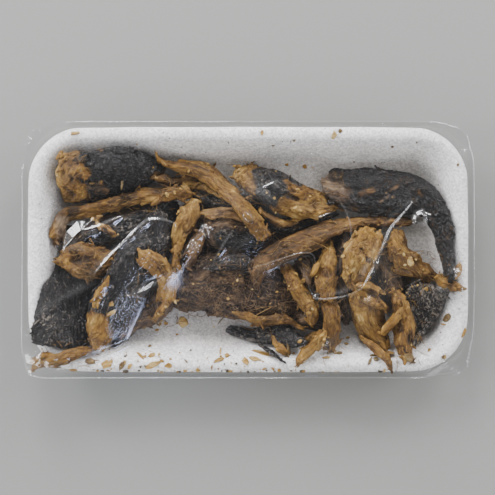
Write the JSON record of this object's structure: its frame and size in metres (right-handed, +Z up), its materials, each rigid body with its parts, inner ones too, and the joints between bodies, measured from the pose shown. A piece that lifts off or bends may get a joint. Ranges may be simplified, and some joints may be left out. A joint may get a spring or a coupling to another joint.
{
  "type": "tray pack of dried fish",
  "caption": "Torn pieces of dried smoked barracuda, golden flesh and charred skin, heaped on a white foam tray under clear stretched film.",
  "frame": {"origin": "under the middle of the pack, on the surface that it rests on", "axes": "+X along the tray towards the end with the hook shaped piece of skin, +Y across the tray, +Z up"},
  "size_m": [0.2152, 0.1222, 0.0306],
  "materials": {
    "foam": "white expanded polystyrene with a fine bead grain",
    "film": "clear glossy stretch film",
    "flesh": "dried golden fibrous fish flesh, faintly oily",
    "dark_flesh": "dried dark fibrous fish flesh",
    "charred_skin": "blackened wrinkled fish skin with a grey sheen"
  },
  "bodies": {
    "root": {"foam_tray": "foam", "stretch_film": "film", "dark_bed_left": "dark_flesh", "dark_bed_middle": "dark_flesh", "dark_bed_right": "dark_flesh", "skin_slab_left": "charred_skin", "flesh_strip_corner": "flesh", "skin_inner_left": "dark_flesh", "flake_inner_left": "flesh", "chunk_top_left": "charred_skin", "fibrous_mass": "dark_flesh", "skin_under_middle": "charred_skin", "dark_filler_right": "dark_flesh", "dark_filler_low": "dark_flesh", "dark_flesh_right": "dark_flesh", "curl_end_left": "flesh", "skin_tip_low": "charred_skin", "flesh_fringe_low": "dark_flesh", "skin_chunk_diagonal": "charred_skin", "flesh_edge_diagonal": "flesh", "flesh_patch_diagonal": "flesh", "flesh_shred_low": "flesh", "strand_under_arch": "dark_flesh", "skin_under_arch": "charred_skin", "flake_under_arch": "flesh", "centre_chunk": "dark_flesh", "centre_lobe": "dark_flesh", "char_lump_centre": "charred_skin", "centre_band": "flesh", "strip_upper_left": "flesh", "arch_strip": "flesh", "strip_centre_left": "flesh", "stick_left": "flesh", "stick_behind": "dark_flesh", "column_low": "dark_flesh", "wedge_upright": "flesh", "flake_upright": "flesh", "flesh_band_low": "flesh", "flesh_tip_low": "flesh", "fin_skin": "charred_skin", "flesh_edge_low": "flesh", "fin_tail": "charred_skin", "fin_shred": "flesh", "sliver_top_middle": "flesh", "chunk_top_middle": "flesh", "long_strip": "flesh", "flesh_right": "flesh", "flesh_right_edge": "flesh", "flake_right_edge": "flesh", "skin_hook_right": "charred_skin", "skin_low_right": "charred_skin", "flesh_low_right": "flesh", "lump_right_upper": "flesh", "plate_right_lower": "flesh", "tail_right_lower": "flesh", "wedge_right": "flesh", "flap_right_upper": "flesh", "flap_right_lower": "flesh"}
  },
  "joints": []
}
